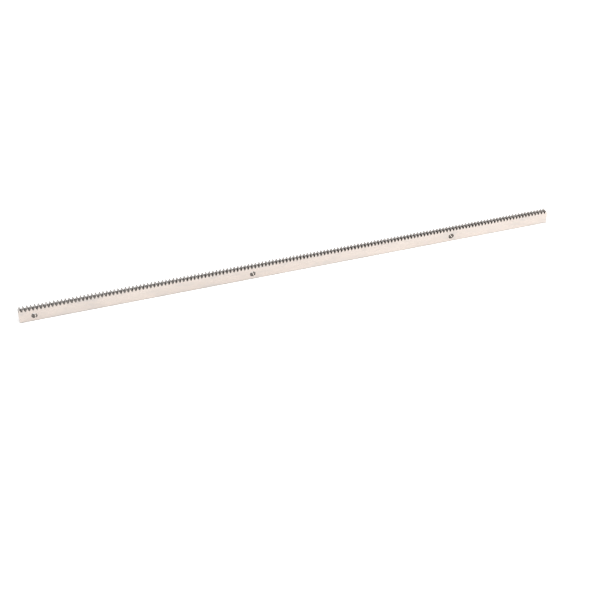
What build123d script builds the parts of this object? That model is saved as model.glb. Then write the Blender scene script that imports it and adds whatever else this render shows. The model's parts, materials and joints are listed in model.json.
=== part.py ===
"""Gear rack: one solid steel bar with straight spur teeth cut along its top edge.

Frame: X runs along the bar, Y across the face width and Z from the back edge up to the teeth.
The origin is the middle of the back edge, which the bar stands on.
"""
import os
from math import cos, pi, radians, sin, tan

from build123d import *

INCH = 25.4

# Tooth system: 20 teeth to the inch of pinion diameter, full depth, 20 degrees.
MODULE = INCH / 20
PRESSURE_ANGLE = 20.0
TOOTH_COUNT = 153
ADDENDUM = 1.00 * MODULE
DEDENDUM = 1.25 * MODULE
ROOT_RADIUS = 0.30 * MODULE
TIP_RADIUS = 0.05 * MODULE

# Bar: drawn flat stock, five eighths of an inch by three tenths of an inch.
HEIGHT = INCH * 5 / 8
FACE_WIDTH = INCH * 3 / 10
EDGE_RADIUS = 0.60
END_CHAMFER = 0.25

# Screw holes, a quarter of an inch across, evenly spaced from one end.
HOLE_COUNT = 3
FIRST_HOLE = INCH * 5 / 8
HOLE_SPACING = 9.3 * INCH
HOLE_RADIUS = INCH / 8
HOLE_CHAMFER = 0.10

# Worked out from the sizes above.
PITCH = pi * MODULE
LENGTH = TOOTH_COUNT * PITCH
TIP_Z = HEIGHT
PITCH_LINE_Z = TIP_Z - ADDENDUM
ROOT_Z = PITCH_LINE_Z - DEDENDUM
HOLE_Z = ROOT_Z / 2


def corner_run(radius):
    """How far a rounded corner's arc centre lies from the sharp corner, along X."""
    slope = radians(PRESSURE_ANGLE)
    return radius * (1 - sin(slope)) / cos(slope)


def half_tooth():
    """The left half of one tooth centred on X = 0: half a root, its fillet, the flank and half the tip."""
    slope = tan(radians(PRESSURE_ANGLE))
    sweep = 90 - PRESSURE_ANGLE
    root_arc_x = -(PITCH / 4 + DEDENDUM * slope) - corner_run(ROOT_RADIUS)
    tip_arc_x = -(PITCH / 4 - ADDENDUM * slope) + corner_run(TIP_RADIUS)
    root_arc = CenterArc((root_arc_x, ROOT_Z + ROOT_RADIUS), ROOT_RADIUS, 270, sweep)
    tip_arc = CenterArc((tip_arc_x, TIP_Z - TIP_RADIUS), TIP_RADIUS, 90 + sweep, -sweep)
    return [
        Line((-PITCH / 2, ROOT_Z), root_arc @ 0),
        root_arc,
        Line(root_arc @ 1, tip_arc @ 0),
        tip_arc,
        Line(tip_arc @ 1, (0, TIP_Z)),
    ]


def tooth_row():
    """The top edge of the bar: every tooth from end to end, both ends in the middle of a gap."""
    left = half_tooth()
    tooth = left + [edge.mirror(Plane.YZ) for edge in left]
    first = -LENGTH / 2 + PITCH / 2
    return [Pos(first + n * PITCH, 0) * edge for n in range(TOOTH_COUNT) for edge in tooth]


def side_outline():
    """The bar's side view, drawn with its height as Y."""
    end = LENGTH / 2
    back = Polyline(
        (-end, ROOT_Z),
        (-end, END_CHAMFER),
        (-end + END_CHAMFER, 0),
        (end - END_CHAMFER, 0),
        (end, END_CHAMFER),
        (end, ROOT_Z),
    )
    return make_face(Wire(tooth_row() + back.edges()))


def hole_cutter():
    """A plain through hole along Y, with the sharp edge taken off at both mouths."""
    drill = Cylinder(HOLE_RADIUS, FACE_WIDTH)
    mouth = Cone(HOLE_RADIUS, HOLE_RADIUS + HOLE_CHAMFER, HOLE_CHAMFER)
    offset = Pos(0, 0, (FACE_WIDTH - HOLE_CHAMFER) / 2)
    return drill + offset * mouth + Rot(180, 0, 0) * offset * mouth


def gear_rack():
    """The whole rack."""
    bar = extrude(Plane.XZ * side_outline(), FACE_WIDTH / 2, both=True)
    back_edges = bar.edges().filter_by(Axis.X).group_by(Axis.Z)[0]
    bar = fillet(back_edges, EDGE_RADIUS)
    cutter = hole_cutter()
    for n in range(HOLE_COUNT):
        along = -LENGTH / 2 + FIRST_HOLE + n * HOLE_SPACING
        bar -= Pos(along, 0, HOLE_Z) * Rot(90, 0, 0) * cutter
    return bar


os.makedirs("parts", exist_ok=True)
rack = gear_rack()
rack.label = "gear_rack"
export_step(rack, "parts/gear_rack.step")
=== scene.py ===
"""A steel gear rack standing on its back edge, on a pale studio floor under soft light."""
import json
import math

import bmesh
import bpy
from mathutils import Matrix, Vector, noise


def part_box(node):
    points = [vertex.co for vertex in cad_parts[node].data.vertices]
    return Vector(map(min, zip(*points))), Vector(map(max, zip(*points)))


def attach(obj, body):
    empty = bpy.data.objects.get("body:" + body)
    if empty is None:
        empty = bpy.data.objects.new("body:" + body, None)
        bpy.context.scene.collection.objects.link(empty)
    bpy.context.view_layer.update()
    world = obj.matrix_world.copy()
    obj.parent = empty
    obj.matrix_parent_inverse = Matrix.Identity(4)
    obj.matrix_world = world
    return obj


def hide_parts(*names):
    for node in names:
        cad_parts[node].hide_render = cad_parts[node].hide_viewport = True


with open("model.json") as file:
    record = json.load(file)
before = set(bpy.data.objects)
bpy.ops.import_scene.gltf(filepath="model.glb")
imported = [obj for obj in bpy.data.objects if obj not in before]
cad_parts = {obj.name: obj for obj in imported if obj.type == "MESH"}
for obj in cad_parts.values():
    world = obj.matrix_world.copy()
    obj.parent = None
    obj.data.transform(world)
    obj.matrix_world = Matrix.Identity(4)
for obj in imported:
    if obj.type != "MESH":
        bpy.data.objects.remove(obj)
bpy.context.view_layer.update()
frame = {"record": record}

NODE = "gear_rack"
MM = 0.001

# The bar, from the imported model.
BAR_LOW, BAR_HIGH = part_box(NODE)
LENGTH = BAR_HIGH.x - BAR_LOW.x
WIDTH = BAR_HIGH.y - BAR_LOW.y
HEIGHT = BAR_HIGH.z
BORES = [mount for mount in frame["record"]["mounts"] if mount["kind"] == "bore"]

# The tooth system: full depth, 20 degree teeth, each end of the bar in the middle of a gap.
TOOTH_COUNT = 153
PITCH = LENGTH / TOOTH_COUNT
MODULE = PITCH / math.pi
SLOPE = math.radians(20)
ADDENDUM = MODULE
DEDENDUM = 1.25 * MODULE
ROOT_Z = HEIGHT - ADDENDUM - DEDENDUM
ROOT_RADIUS = 0.30 * MODULE
TIP_RADIUS = 0.12 * MM

# Just below the roots, the side faces' mesh goes from one block per tooth to plain blocks.
BAND_Z = ROOT_Z - 0.6 * MM

# Edge breaks: how far each kind of edge is rounded over, seen from the side.
TOOTH_BREAK = 0.10 * MM
END_BREAK = 0.20 * MM
BACK_BREAK = 0.60 * MM
BORE_BREAK = 0.12 * MM
BREAK_WANDER = 0.25
WANDER_LENGTH = 2.5 * MM
SHARP_ANGLE = math.radians(35)
BREAK_STEPS = 3
FILLET_STEPS = 5
TIP_STEPS = 2
BORE_STEPS = 72

# Faces of the bar by how each was made, in the order of the piece's materials; the tooth tops, gaps, screw
# holes and back corners also carry painted shade.
DRAWN, MILLED, SAWN, DRILLED, BROKEN, CORNER, SHADED_LAND = range(7)


# ---------------------------------------------------------------- the bar's mesh

def corner_run(radius):
    """How far a rounded corner's arc centre lies from the sharp corner, along X."""
    return radius * (1 - math.sin(SLOPE)) / math.cos(SLOPE)


def arc(centre, radius, start, end, steps):
    """Points of an arc in the XZ plane, from start to end in radians."""
    angles = [start + (end - start) * i / steps for i in range(steps + 1)]
    return [(centre[0] + radius * math.cos(a), centre[1] + radius * math.sin(a)) for a in angles]


def half_tooth(inset):
    """The left half of a tooth centred on X = 0, from gap to tip, moved into the metal by inset."""
    root = ROOT_Z - inset
    tip = HEIGHT - inset
    root_radius = ROOT_RADIUS + inset
    tip_radius = max(TIP_RADIUS - inset, 0.1 * TIP_RADIUS)
    sideways = inset / math.cos(SLOPE)
    at_pitch_line = -PITCH / 4 + sideways
    pitch_line = HEIGHT - ADDENDUM
    root_x = at_pitch_line - (pitch_line - root) * math.tan(SLOPE) - corner_run(root_radius)
    tip_x = at_pitch_line + (tip - pitch_line) * math.tan(SLOPE) + corner_run(tip_radius)
    fillet = arc((root_x, root + root_radius), root_radius, -math.pi / 2, -SLOPE, FILLET_STEPS)
    crest = arc((tip_x, tip - tip_radius), tip_radius, math.pi - SLOPE, math.pi / 2, TIP_STEPS)
    return fillet + crest


def tooth(number, inset):
    """One whole tooth, left to right, starting in the middle of the gap on its left."""
    centre = BAR_LOW.x + (number + 0.5) * PITCH
    left = half_tooth(inset)
    right = [(-x, z) for x, z in reversed(left)]
    gap = (-PITCH / 2, ROOT_Z - inset)
    return [(centre + x, z) for x, z in [gap] + left + right]


POINTS_PER_TOOTH = 1 + 2 * (FILLET_STEPS + 1 + TIP_STEPS + 1)


def wander(x, z):
    """A hand-finished edge is not quite even: the share by which its break differs here."""
    return 1 + BREAK_WANDER * noise.noise(Vector((x, 0, z)) / WANDER_LENGTH)


def outline(share):
    """The bar's side view as points, teeth first and then round the back edge.

    share runs from 0 at the edge breaks' foot, full size, to 1 on the flat side faces.
    """
    points = []
    for number in range(TOOTH_COUNT):
        points += tooth(number, share * TOOTH_BREAK)
    low_x, high_x = BAR_LOW.x + share * END_BREAK, BAR_HIGH.x - share * END_BREAK
    root = ROOT_Z - share * TOOTH_BREAK
    points[0] = (low_x, root)
    points += [(high_x, root), (high_x, BAND_Z)]
    floor = share * BACK_BREAK
    points += arc((high_x - END_BREAK, floor + END_BREAK), END_BREAK, 0, -math.pi / 2, BREAK_STEPS)
    points += [(BAR_LOW.x + n * PITCH, floor) for n in range(TOOTH_COUNT - 1, 0, -1)]
    points += arc((low_x + END_BREAK, floor + END_BREAK), END_BREAK, -math.pi / 2, -math.pi, BREAK_STEPS)
    points.append((low_x, BAND_Z))
    return points


def break_depths():
    """How far from the side face each outline point's edge break reaches."""
    teeth = [TOOTH_BREAK * wander(x, z) for x, z in outline(0)[:TOOTH_COUNT * POINTS_PER_TOOTH]]
    teeth[0] = END_BREAK
    back = [BACK_BREAK] * (TOOTH_COUNT - 1 + 2 * (BREAK_STEPS + 1))
    return teeth + [END_BREAK, END_BREAK] + back + [END_BREAK]


def ring_profile():
    """The rounded edge as pairs: share of the inset left, share of the depth reached."""
    turns = [math.pi / 2 * i / BREAK_STEPS for i in range(BREAK_STEPS + 1)]
    return [(1 - math.sin(turn), 1 - math.cos(turn)) for turn in turns]


def outline_rings(bm):
    """Rings of vertices round the bar, from the near side face to the far one."""
    depths = break_depths()
    near, far = [], []
    for share, reach in ring_profile():
        points = outline(share)
        for side, rings in ((-1, near), (1, far)):
            rings.append([
                bm.verts.new((x, side * (WIDTH / 2 - reach * depth), z))
                for (x, z), depth in zip(points, depths)
            ])
    return near + far[::-1]


def bore_rings(bm, bore):
    """Rings of vertices down one screw hole, from the near mouth to the far one."""
    centre_x, centre_z = bore["pos_m"][0], bore["pos_m"][2]
    radius = bore["dims"]["r_mm"] * MM
    near, far = [], []
    for share, reach in ring_profile():
        wide = radius + share * BORE_BREAK
        circle = arc((centre_x, centre_z), wide, 0, 2 * math.pi, BORE_STEPS)[:-1]
        for side, rings in ((-1, near), (1, far)):
            y = side * (WIDTH / 2 - reach * BORE_BREAK)
            rings.append([bm.verts.new((x, y, z)) for x, z in circle])
    return near + far[::-1]


def surface_kind(x, z_low):
    """How the outer surface at this place along the outline was made; the tooth tops get their own kind,
    for painted shade.
    """
    if z_low > HEIGHT - 0.2 * TIP_RADIUS:
        return SHADED_LAND
    if z_low > ROOT_Z - 0.1 * MM:
        return MILLED
    at_end = min(x - BAR_LOW.x, BAR_HIGH.x - x) < 0.5 * END_BREAK
    return SAWN if at_end else DRAWN


def skin(bm, rings, kind_of):
    """Quads from each ring to the next, closed round."""
    middle = len(rings) // 2 - 1
    count = len(rings[0])
    for level, (one, two) in enumerate(zip(rings, rings[1:])):
        for i in range(count):
            j = (i + 1) % count
            face = bm.faces.new((one[i], two[i], two[j], one[j]))
            face.material_index = kind_of(one[i], one[j], level == middle)
            face.smooth = True


def outer_kind(one, two, between_faces):
    """The kind of the outer surface between two neighbouring outline points."""
    if between_faces:
        return surface_kind((one.co.x + two.co.x) / 2, min(one.co.z, two.co.z))
    return CORNER if max(one.co.z, two.co.z) < 2 * BACK_BREAK else BROKEN


def bore_kind(one, two, between_faces):
    """The kind of a screw hole's surface: its wall, or the broken edge of its mouth."""
    return DRILLED if between_faces else BROKEN


def cap(bm, ring, bore_mouths, side):
    """One flat side face: a block under each tooth, and a fan of triangles round each screw hole."""
    y = side * WIDTH / 2
    right_root = TOOTH_COUNT * POINTS_PER_TOOTH
    gaps = ring[POINTS_PER_TOOTH:right_root:POINTS_PER_TOOTH]
    band = [ring[-1]] + [bm.verts.new((v.co.x, y, BAND_Z)) for v in gaps] + [ring[right_root + 1]]
    back = ring[right_root + 2:-1]
    right_arc, left_arc = back[:BREAK_STEPS + 1], back[-BREAK_STEPS - 1:]
    foot = [left_arc[0]] + back[BREAK_STEPS + 1:-BREAK_STEPS - 1][::-1] + [right_arc[-1]]
    faces = []
    for n in range(TOOTH_COUNT):
        first = n * POINTS_PER_TOOTH
        faces.append(ring[first:first + POINTS_PER_TOOTH + 1] + [band[n + 1], band[n]])
    near_bore = {}
    for number, mouth in enumerate(bore_mouths):
        low = min(v.co.x for v in mouth)
        high = max(v.co.x for v in mouth)
        columns = [n for n in range(TOOTH_COUNT) if band[n + 1].co.x > low and band[n].co.x < high]
        near_bore.update({n: number for n in columns})
    for n in range(TOOTH_COUNT):
        if n in near_bore:
            continue
        quad = [band[n], band[n + 1], foot[n + 1], foot[n]]
        if n == 0:
            quad = [band[0], band[1], foot[1]] + left_arc
        if n == TOOTH_COUNT - 1:
            quad = [band[n], band[n + 1]] + right_arc + [foot[n]]
        faces.append(quad)
    for corners in faces:
        face = bm.faces.new(corners if side < 0 else corners[::-1])
        face.material_index = DRAWN
        face.smooth = True
    for number, mouth in enumerate(bore_mouths):
        columns = [n for n in near_bore if near_bore[n] == number]
        first, last = min(columns), max(columns)
        rim = band[first:last + 2] + foot[first:last + 2][::-1]
        fill_round(bm, rim, mouth, side)


def edge_between(bm, one, two):
    """The edge that joins two vertices, made if it is not there yet."""
    return bm.edges.get((one, two)) or bm.edges.new((one, two))


def fill_round(bm, rim, mouth, side):
    """Triangles between a block's rim and the hole's mouth in it."""
    loops = [edge_between(bm, a, b) for line in (rim, mouth) for a, b in zip(line, line[1:] + line[:1])]
    made = bmesh.ops.triangle_fill(bm, edges=loops, use_beauty=True, normal=(0, side, 0))
    for face in made["geom"]:
        if isinstance(face, bmesh.types.BMFace):
            face.material_index = DRAWN
            face.smooth = True


def rack_mesh():
    """The whole bar as one closed mesh."""
    bm = bmesh.new()
    rings = outline_rings(bm)
    skin(bm, rings, outer_kind)
    bores = [bore_rings(bm, bore) for bore in BORES]
    for bore in bores:
        skin(bm, [ring[::-1] for ring in bore], bore_kind)
    cap(bm, rings[0], [bore[0] for bore in bores], -1)
    cap(bm, rings[-1], [bore[-1] for bore in bores], 1)
    bmesh.ops.recalc_face_normals(bm, faces=bm.faces)
    mesh = bpy.data.meshes.new("toothed_bar")
    bm.to_mesh(mesh)
    bm.free()
    return mesh


# ---------------------------------------------------------------- materials

class Shader:
    """A node material in the making. Places are in metres, in the row's own frame."""

    def __init__(self, name, colour, roughness):
        self.material = bpy.data.materials.new(name)
        self.material.use_nodes = True
        self.nodes = self.material.node_tree.nodes
        self.links = self.material.node_tree.links
        self.surface = self.nodes["Principled BSDF"]
        self.surface.inputs["Metallic"].default_value = 1.0
        self.surface.inputs["Base Color"].default_value = (*colour, 1)
        self.surface.inputs["Roughness"].default_value = roughness
        self.place = self.nodes.new("ShaderNodeTexCoord").outputs["Object"]

    def fill(self, node, **inputs):
        """Sets or links a node's inputs by name, with _ for a space."""
        for name, value in inputs.items():
            socket = node.inputs[name.replace("_", " ")]
            if isinstance(value, bpy.types.NodeSocket):
                self.links.new(value, socket)
            else:
                socket.default_value = value
        return node

    def stretched(self, scale, turn=(0, 0, 0)):
        """Places scaled along each axis, in features per metre, and turned in degrees."""
        node = self.nodes.new("ShaderNodeMapping")
        angles = [math.radians(a) for a in turn]
        return self.fill(node, Vector=self.place, Scale=scale, Rotation=angles).outputs["Vector"]

    def noise(self, scale, detail=3.0, roughness=0.55, distortion=0.0, turn=(0, 0, 0)):
        """Smooth noise from 0 to 1."""
        node = self.nodes.new("ShaderNodeTexNoise")
        vector = self.stretched(scale, turn)
        self.fill(node, Vector=vector, Scale=1.0, Detail=detail, Roughness=roughness, Distortion=distortion)
        return node.outputs["Fac"]

    def between(self, value, low, high, out_low=0.0, out_high=1.0):
        """Carries value from low..high to out_low..out_high, smoothly, and holds it there."""
        node = self.nodes.new("ShaderNodeMapRange")
        node.interpolation_type = "SMOOTHSTEP"
        self.fill(node, Value=value, From_Min=low, From_Max=high, To_Min=out_low, To_Max=out_high)
        return node.outputs["Result"]

    def maths(self, operation, one, two):
        """A sum, product or other operation on two values."""
        node = self.nodes.new("ShaderNodeMath")
        node.operation = operation
        for socket, value in zip(node.inputs, (one, two)):
            if isinstance(value, bpy.types.NodeSocket):
                self.links.new(value, socket)
            else:
                socket.default_value = value
        return node.outputs["Value"]

    def axis(self, letter):
        """The place along one axis, in metres."""
        node = self.nodes.new("ShaderNodeSeparateXYZ")
        return self.fill(node, Vector=self.place).outputs[letter]

    def blend(self, share, one, two):
        """Mixes two colours."""
        node = self.nodes.new("ShaderNodeMix")
        node.data_type = "RGBA"
        sockets = {"Factor_Float": share, "A_Color": one, "B_Color": two}
        for socket in node.inputs:
            if socket.identifier not in sockets:
                continue
            value = sockets[socket.identifier]
            if isinstance(value, bpy.types.NodeSocket):
                self.links.new(value, socket)
            elif socket.identifier == "Factor_Float":
                socket.default_value = value
            else:
                socket.default_value = (*value, 1)
        return next(s for s in node.outputs if s.identifier == "Result_Color")

    def colour(self, socket):
        self.links.new(socket, self.surface.inputs["Base Color"])

    def roughness(self, socket):
        self.links.new(socket, self.surface.inputs["Roughness"])

    def bump(self, *layers):
        """Stacks bumps: each layer is a height from 0 to 1 and its depth in metres."""
        below = None
        for height, depth in layers:
            node = self.fill(self.nodes.new("ShaderNodeBump"), Height=height, Distance=depth, Strength=1.0)
            if below:
                self.links.new(below, node.inputs["Normal"])
            below = node.outputs["Normal"]
        self.links.new(below, self.surface.inputs["Normal"])


STEEL = (0.54, 0.480, 0.440)
STEEL_GREY = (0.48, 0.448, 0.425)
STEEL_BRIGHT = (0.60, 0.545, 0.505)
# Tooth tops: painted shade, a darker steel and grey than the side faces.
SHADED_LAND_STEEL = (0.34, 0.322, 0.308)
SHADED_LAND_GREY = (0.285, 0.272, 0.263)
MILLED_STEEL = (0.46, 0.43, 0.41)
# Painted shade on the root floor of the tooth gaps.
SHADED_ROOT_STEEL = (0.30, 0.28, 0.265)
# Painted shade down the screw holes.
SHADED_BORE_STEEL = (0.22, 0.20, 0.18)
# Painted contact shade on the rounded back corners.
CONTACT_SHADE_GREY = (0.08, 0.08, 0.08)
# Painted shade low on the tooth flanks, also used for the darker feed marks.
GAP_SHADE_AND_FEED_MARKS = (0.09, 0.078, 0.07)
# Deeper painted shade along the drill rings.
DEEP_BORE_SHADE = (0.07, 0.06, 0.055)


def scratches(shader, turn, length, spacing, share):
    """Thin sparse straight scratches: 1 on a scratch and 0 elsewhere."""
    line = shader.noise((1 / length, 1 / spacing, 1 / spacing), detail=1.0, turn=(0, turn, 0))
    return shader.between(line, 1 - share, 1 - share + 0.02)


def drawn_steel():
    """Bright cold-drawn steel: fine lines along the bar, soft stains, small pits and scratches."""
    shader = Shader("drawn_steel", STEEL, 0.3)
    lines = shader.noise((12, 9000, 9000), detail=4.0, roughness=0.7)
    broad_lines = shader.noise((5, 1400, 1400), detail=2.0)
    stains = shader.noise((45, 160, 160), detail=4.0, roughness=0.6, distortion=0.4)
    clouds = shader.noise((14, 60, 60), detail=2.0)
    speckle = shader.noise((2600, 2600, 2600), detail=2.0, roughness=0.7)
    pits = shader.between(speckle, 0.68, 0.74)
    marks = shader.maths("MAXIMUM", scratches(shader, 12, 9 * MM, 0.14 * MM, 0.27),
                         scratches(shader, -31, 5 * MM, 0.11 * MM, 0.26))
    tone = shader.blend(shader.between(stains, 0.45, 0.72), STEEL, STEEL_GREY)
    tone = shader.blend(shader.between(clouds, 0.40, 0.68, 0, 0.35), tone, STEEL_BRIGHT)
    tone = shader.blend(shader.between(lines, 0.3, 0.75, 0, 0.22), tone, STEEL_GREY)
    tone = shader.blend(shader.maths("MULTIPLY", pits, 0.45), tone, MILLED_STEEL)
    tone = shader.blend(shader.maths("MULTIPLY", marks, 0.35), tone, STEEL_BRIGHT)
    shader.colour(tone)
    rough = shader.maths("ADD", shader.between(stains, 0.35, 0.7, 0.26, 0.40),
                         shader.between(lines, 0.3, 0.7, -0.04, 0.06))
    shader.roughness(shader.maths("ADD", rough, shader.maths("MULTIPLY", marks, 0.08)))
    shader.bump((broad_lines, 0.004 * MM), (lines, 0.0012 * MM),
                (shader.maths("SUBTRACT", 1.0, pits), 0.004 * MM),
                (shader.maths("SUBTRACT", 1.0, marks), 0.002 * MM))
    return shader.material


def shaded_milled_steel():
    """Tooth flanks and roots as the cutter left them, with painted shade that deepens low on the flanks and
    is lighter on the root floor.
    """
    shader = Shader("shaded_milled_steel", MILLED_STEEL, 0.4)
    height = shader.maths("DIVIDE", shader.maths("SUBTRACT", shader.axis("Z"), ROOT_Z), HEIGHT - ROOT_Z)
    feed = shader.noise((500, 5200, 500), detail=3.0, roughness=0.6)
    drift = shader.noise((160, 260, 260), detail=3.0)
    shade_height = shader.maths("ADD", height, shader.between(drift, 0.3, 0.7, -0.12, 0.12))
    # Painted shade: the flanks darken towards the roots, with a little noise in the height.
    tone = shader.blend(shader.between(shade_height, 0.15, 0.75), GAP_SHADE_AND_FEED_MARKS, MILLED_STEEL)
    # Painted shade on the root floor, less deep than on the lower flanks.
    tone = shader.blend(shader.between(height, 0.01, 0.10), SHADED_ROOT_STEEL, tone)
    # Feed marks darken the steel a little, in the same dark colour.
    tone = shader.blend(shader.between(feed, 0.35, 0.7, 0, 0.2), tone, GAP_SHADE_AND_FEED_MARKS)
    shader.colour(tone)
    shader.roughness(shader.between(feed, 0.3, 0.7, 0.30, 0.48))
    shader.bump((feed, 0.006 * MM))
    return shader.material


def shaded_land_steel():
    """The tops of the teeth: greyer than the sides as painted shade, for the darker surround they reflect,
    with fine lines along the bar.
    """
    shader = Shader("shaded_land_steel", SHADED_LAND_STEEL, 0.28)
    lines = shader.noise((30, 8000, 8000), detail=3.0, roughness=0.7)
    stains = shader.noise((70, 240, 240), detail=3.0)
    tone = shader.blend(shader.between(stains, 0.4, 0.7), SHADED_LAND_STEEL, SHADED_LAND_GREY)
    shader.colour(shader.blend(shader.between(lines, 0.35, 0.75, 0, 0.3), tone, SHADED_LAND_GREY))
    shader.roughness(shader.between(stains, 0.3, 0.7, 0.22, 0.32))
    shader.bump((lines, 0.001 * MM))
    return shader.material


def sawn_steel():
    """The cut ends: curved saw lines over a grey, rougher face."""
    shader = Shader("sawn_steel", STEEL_GREY, 0.45)
    wave = shader.nodes.new("ShaderNodeTexWave")
    wave.wave_type = "RINGS"
    wave.rings_direction = "X"
    shader.fill(wave, Vector=shader.stretched((0, 420, 420), (8, 0, 0)), Scale=1.0,
                Distortion=1.5, Detail=3.0, Detail_Scale=2.0)
    lines = wave.outputs["Fac"]
    grain = shader.noise((2500, 2500, 2500), detail=2.0)
    shader.colour(shader.blend(shader.between(lines, 0.1, 0.9, 0, 0.5), STEEL_GREY, MILLED_STEEL))
    shader.roughness(shader.between(grain, 0.3, 0.7, 0.38, 0.55))
    shader.bump((lines, 0.008 * MM), (grain, 0.002 * MM))
    return shader.material


def shaded_drilled_steel():
    """Screw hole walls: painted shade, much darker than the faces, with the fine rings left by the drill
    showing as bands of deeper painted shade.
    """
    shader = Shader("shaded_drilled_steel", SHADED_BORE_STEEL, 0.35)
    rings = shader.noise((120, 6500, 120), detail=2.0)
    # Painted shade: the wall is dark, and darker still along the drill rings.
    shader.colour(shader.blend(shader.between(rings, 0.3, 0.7, 0.2, 0.8), SHADED_BORE_STEEL, DEEP_BORE_SHADE))
    shader.roughness(shader.between(rings, 0.3, 0.7, 0.14, 0.24))
    shader.bump((rings, 0.006 * MM))
    return shader.material


def rubbed_steel():
    """Edge breaks, rubbed brighter than the faces beside them."""
    shader = Shader("rubbed_steel", STEEL_BRIGHT, 0.28)
    wear = shader.noise((700, 1500, 1500), detail=3.0)
    shader.colour(shader.blend(shader.between(wear, 0.35, 0.7), STEEL_BRIGHT, STEEL_GREY))
    shader.roughness(shader.between(wear, 0.3, 0.7, 0.22, 0.42))
    shader.bump((wear, 0.004 * MM))
    return shader.material


def corner_shade_steel():
    """The rounded back corners: painted shade, near black, for the dark line where the bar meets the floor.
    """
    shader = Shader("corner_shade_steel", CONTACT_SHADE_GREY, 0.5)
    # The dark colour also dims the corners' edge reflection: painted shade.
    shader.surface.inputs["Specular Tint"].default_value = (*CONTACT_SHADE_GREY, 1)
    patches = shader.noise((260, 900, 900), detail=3.0)
    shader.colour(shader.blend(shader.between(patches, 0.55, 0.85), CONTACT_SHADE_GREY, MILLED_STEEL))
    shader.roughness(shader.between(patches, 0.3, 0.7, 0.42, 0.58))
    shader.bump((patches, 0.004 * MM))
    return shader.material


# ---------------------------------------------------------------- the piece

def make_rack():
    """The finished rack, in place of the CAD node."""
    mesh = rack_mesh()
    # Tooth tops, tooth gaps, screw holes and back corners get materials with painted shade.
    finishes_and_shades = (drawn_steel, shaded_milled_steel, sawn_steel, shaded_drilled_steel, rubbed_steel, corner_shade_steel,
                shaded_land_steel)
    for finish in finishes_and_shades:
        mesh.materials.append(finish())
    rack = bpy.data.objects.new("toothed_bar", mesh)
    bpy.context.scene.collection.objects.link(rack)
    mesh.set_sharp_from_angle(angle=SHARP_ANGLE)
    normals = rack.modifiers.new("face_weighted_normals", "WEIGHTED_NORMAL")
    normals.keep_sharp = True
    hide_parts(NODE)
    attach(rack, "root")
    return rack


# ---------------------------------------------------------------- studio

CAMERA_AZIMUTH = math.radians(-16.85)
CAMERA_ELEVATION = math.radians(36.66)
CAMERA_ROLL = math.radians(-0.98)
CAMERA_DISTANCE = 1.1181
CAMERA_LENS = 62.77
CAMERA_AIM = Vector((-0.01577, -0.05742, 0.0))

FLOOR_HALF = 8.0
WORLD_GREY = 1.05


def make_camera():
    """The viewpoint: in front, to the left and above, with a slight tilt."""
    data = bpy.data.cameras.new("view")
    data.lens = CAMERA_LENS
    data.sensor_width = 36.0
    data.clip_start = 0.01
    data.clip_end = 50.0
    camera = bpy.data.objects.new("view", data)
    bpy.context.scene.collection.objects.link(camera)
    flat = math.cos(CAMERA_ELEVATION)
    back = Vector((math.sin(CAMERA_AZIMUTH) * flat, -math.cos(CAMERA_AZIMUTH) * flat,
                   math.sin(CAMERA_ELEVATION)))
    turn = (-back).to_track_quat("-Z", "Y").to_matrix().to_4x4()
    place = Matrix.Translation(CAMERA_AIM + back * CAMERA_DISTANCE)
    camera.matrix_world = place @ turn @ Matrix.Rotation(CAMERA_ROLL, 4, "Z")
    bpy.context.scene.camera = camera


def make_floor():
    """A plain pale floor."""
    mesh = bpy.data.meshes.new("floor")
    corners = [(x * FLOOR_HALF, y * FLOOR_HALF, 0) for x, y in ((-1, -1), (1, -1), (1, 1), (-1, 1))]
    mesh.from_pydata(corners, [], [(0, 1, 2, 3)])
    floor = bpy.data.objects.new("floor", mesh)
    bpy.context.scene.collection.objects.link(floor)
    material = bpy.data.materials.new("pale_floor")
    material.use_nodes = True
    surface = material.node_tree.nodes["Principled BSDF"]
    surface.inputs["Base Color"].default_value = (0.9, 0.9, 0.9, 1)
    surface.inputs["Roughness"].default_value = 0.9
    surface.inputs["Specular IOR Level"].default_value = 0.0
    mesh.materials.append(material)


def make_light(name, place, size, power, colour, on_floor=True):
    """A soft square light aimed at the bar's middle; off the floor, it only shines in the metal."""
    data = bpy.data.lights.new(name, "AREA")
    data.size = size
    data.energy = power
    data.color = colour
    light = bpy.data.objects.new(name, data)
    bpy.context.scene.collection.objects.link(light)
    light.location = place
    light.rotation_mode = "QUATERNION"
    light.rotation_quaternion = (-Vector(place)).to_track_quat("-Z", "Y")
    light.visible_diffuse = on_floor


def make_studio():
    """Floor, soft lights and an even pale surround."""
    make_floor()
    make_light("key", (1.2, -1.0, 1.55), 1.7, 55.0, (1.0, 0.985, 0.97))
    make_light("fill", (-1.45, -1.0, 1.7), 1.45, 11.5, (1.0, 0.985, 0.975))
    make_light("back", (-1.75, 3.5, 2.25), 0.75, 22.0, (1.0, 1.0, 1.0), on_floor=False)
    world = bpy.data.worlds.new("surround")
    world.use_nodes = True
    world.node_tree.nodes["Background"].inputs["Color"].default_value = (WORLD_GREY,) * 3 + (1,)
    bpy.context.scene.world = world
    bpy.context.scene.view_settings.view_transform = "Standard"


make_rack()
make_camera()
make_studio()
